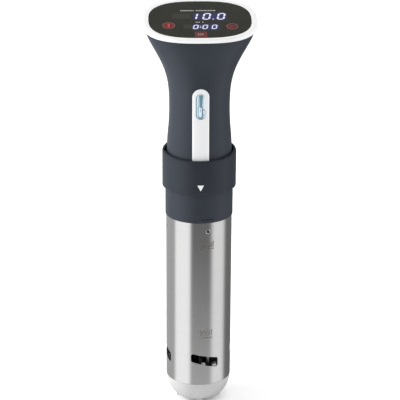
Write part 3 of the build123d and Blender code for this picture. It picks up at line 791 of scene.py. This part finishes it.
def lens_material(name, color, whiter=None):
    """Milky blue acrylic under a clear polished skin, whiter towards one side where asked; the same recipe
    also gives the painted highlights on the lens.
    """
    mat, shader = new_material(name, color, 0.08)
    depth = noise(mat, 4.0 * MM, (1, 1, 0.4), 1.0)
    tone = tint(mat, depth, shaded(color, 0.93), shaded(color, 1.03))
    if whiter:
        turn_x, turn_half = 2.4 * MM, 1.6 * MM
        side = spread(mat, object_position(mat)[1]["X"], 0, 1, turn_x, turn_half)
        tone = blend(mat, side, tone, (*whiter, 1))
    link(mat, tone, shader.inputs["Base Color"])
    shader.inputs["Coat Weight"].default_value = 0.6
    shader.inputs["Coat Roughness"].default_value = 0.05
    return mat


lens_pale = lens_material("lens_pale_blue", srgb(160, 184, 196), whiter=srgb(214, 223, 232))
lens_teal = lens_material("lens_teal", srgb(106, 136, 146))
lens_deep = lens_material("lens_deep_teal", srgb(82, 108, 118))
# Colour of the painted highlights on the lens.
lens_highlight_paint = lens_material("lens_highlight_paint", srgb(204, 221, 238))
# Colour of the dimmer middle of the larger painted highlight.
lens_highlight_core = lens_material("lens_painted_highlight_core", srgb(150, 172, 190))

lens_shell = add_dome("lens_rim", lens_deep)
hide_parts("status_lens")
add_dome("lens_dome", lens_pale, shift_u=0.42, shift_v=0.5, outer=lens_radius - 0.5, lift=0.10, edge=0.02)
light_guide = tapered_cells(middle=0.15, low=-0.6, high=10.9, low_width=1.0, high_width=3.4)
add_print("lens_light_guide", light_guide, lens_teal, proud_of_lens)
# The beads are painted highlights on the lens, each with a dark teal edge round it; the larger one has a
# dimmer middle.
lens_details = (                     # shift_u, shift_v, outer, straight, lift and edge, in millimetres
    ("lens_lower_arc", lens_teal, 0.2, -8.6, 2.1, 0.0, 0.04, 0.14),
    ("lens_painted_highlight_edge", lens_deep, -0.4, -4.1, 2.0, 3.3, 0.05, 0.14),
    ("lens_side_painted_highlight_edge", lens_deep, 2.6, -4.7, 1.25, 1.5, 0.05, 0.13),
    ("lens_painted_highlight", lens_highlight_paint, -0.4, -4.1, 1.4, 3.2, 0.08, 0.18),
    ("lens_painted_highlight_core", lens_highlight_core, -0.4, -2.8, 0.4, 1.2, 0.04, 0.28),
    ("lens_side_painted_highlight", lens_highlight_paint, 2.7, -4.7, 0.75, 1.4, 0.06, 0.16),
)
for detail in lens_details:
    add_dome(*detail)


# --- camera -----------------------------------------------------------------------------------
def direction(azimuth, elevation):
    """Unit vector from the object, with azimuth from the front towards +X, both in degrees."""
    a, e = radians(azimuth), radians(elevation)
    return Vector((sin(a) * cos(e), -cos(a) * cos(e), sin(e)))


def add_camera():
    """The viewpoint: a long lens a metre and a half away, a little above and left of the front."""
    distance, focal_length, sensor_width = 1.5, 148.2, 36.0
    target = Vector((0.9, 0, 11.2)) * MM
    back = direction(azimuth=-2.5, elevation=20.47)
    roll = Matrix.Rotation(radians(0.30), 4, "Z")
    data = bpy.data.cameras.new("camera")
    data.lens = focal_length
    data.sensor_width = sensor_width
    camera = bpy.data.objects.new("camera", data)
    aim = back.to_track_quat("Z", "Y").to_matrix().to_4x4()
    camera.matrix_world = Matrix.Translation(target + back * distance) @ aim @ roll
    bpy.context.scene.collection.objects.link(camera)
    bpy.context.scene.camera = camera


# --- studio -----------------------------------------------------------------------------------
def smooth_step(value, low, high):
    """0 below low, 1 above high, and a smooth rise between."""
    t = min(max((value - low) / (high - low), 0), 1)
    return t * t * (3 - 2 * t)


def window(value, low, high, soft):
    """1 between low and high and 0 outside, with ends that fade over twice soft."""
    return smooth_step(value, low - soft, low + soft) * (1 - smooth_step(value, high - soft, high + soft))


tent_radius = 1.3
left_box_level, right_box_level = 1.31, 1.04
back_left_level, back_right_level = 0.52, 0.19
front_level, floor_glow_level, overhead_level = 0.02, 1.15, 0.22


def tent_radiance(azimuth, elevation):
    """Brightness of the light tent seen in a direction, azimuth from the front towards +X."""
    left_box = window(azimuth, low=-93, high=-31, soft=5)
    right_box = window(azimuth, low=43.5, high=98, soft=10)
    back_left = 1 - smooth_step(azimuth, low=-104, high=-82)
    back_right = smooth_step(azimuth, low=88, high=108)
    front = max(1 - left_box - right_box - back_left - back_right, 0)
    floor_glow = floor_glow_level * (1 - smooth_step(elevation, low=-42, high=-25))
    level = (left_box_level * left_box + right_box_level * right_box
             + back_left_level * back_left + back_right_level * back_right
             + (front_level + floor_glow) * front)
    overhead = smooth_step(elevation, low=24, high=38)
    return level * (1 - overhead) + overhead_level * overhead


def add_tent():
    """Glossy surfaces see this tent of bright and dim panels; nothing else does."""
    mesh = bpy.data.meshes.new("tent")
    shape = bmesh.new()
    bmesh.ops.create_uvsphere(shape, u_segments=120, v_segments=60, radius=tent_radius)
    shape.to_mesh(mesh)
    shape.free()
    glow = mesh.attributes.new("glow", "FLOAT_COLOR", "POINT")
    for vertex, value in zip(mesh.vertices, glow.data):
        x, y, z = vertex.co
        level = tent_radiance(degrees(atan2(x, -y)), degrees(atan2(z, sqrt(x * x + y * y))))
        value.color = (level, level, level, 1)
    mat = bpy.data.materials.new("tent_glow")
    mat.use_nodes = True
    mat.node_tree.nodes.clear()
    attribute = add_node(mat, "ShaderNodeAttribute", attribute_name="glow")
    emission = add_node(mat, "ShaderNodeEmission")
    output = add_node(mat, "ShaderNodeOutputMaterial")
    link(mat, attribute.outputs["Color"], emission.inputs["Color"])
    link(mat, emission.outputs["Emission"], output.inputs["Surface"])
    mat.cycles.emission_sampling = "NONE"
    mesh.materials.append(mat)
    tent = bpy.data.objects.new("tent", mesh)
    bpy.context.scene.collection.objects.link(tent)
    tent.visible_camera = tent.visible_diffuse = tent.visible_shadow = False
    tent.visible_transmission = tent.visible_volume_scatter = False


def add_floor():
    """A wide pale disc under the feet."""
    floor_radius = 30.0
    mesh = bpy.data.meshes.new("floor")
    shape = bmesh.new()
    bmesh.ops.create_circle(shape, cap_ends=True, segments=96, radius=floor_radius)
    bmesh.ops.translate(shape, verts=shape.verts, vec=(0, 0, floor_z))
    shape.to_mesh(mesh)
    shape.free()
    mat = moulded_plastic("pale_floor", (0.92, 0.92, 0.92), 0.9, 5 * MM, 0.01 * MM, 0.01)
    mesh.materials.append(mat)
    floor = bpy.data.objects.new("floor", mesh)
    bpy.context.scene.collection.objects.link(floor)
    floor.visible_glossy = False


def add_softbox(name, azimuth, elevation, power):
    """A tall rectangular lamp that faces the object and doesn't show in glossy surfaces."""
    distance, width, height = 1.6, 0.6, 1.2
    data = bpy.data.lights.new(name, "AREA")
    data.shape = "RECTANGLE"
    data.size = width
    data.size_y = height
    data.energy = power
    lamp = bpy.data.objects.new(name, data)
    away = direction(azimuth, elevation)
    lamp.location = away * distance
    lamp.rotation_euler = away.to_track_quat("Z", "Y").to_euler()
    lamp.visible_glossy = False
    bpy.context.scene.collection.objects.link(lamp)


def add_world():
    """Even white surroundings, left out of glossy reflections."""
    world = bpy.data.worlds.new("studio")
    world.use_nodes = True
    background = world.node_tree.nodes["Background"]
    background.inputs["Color"].default_value = (1, 1, 1, 1)
    background.inputs["Strength"].default_value = 1.12
    world.cycles_visibility.glossy = False
    bpy.context.scene.world = world


add_camera()
add_floor()
add_tent()
add_world()
add_softbox("left_softbox", azimuth=-100, elevation=10, power=46)
add_softbox("right_softbox", azimuth=112, elevation=10, power=12)
bpy.context.scene.view_settings.view_transform = "Standard"
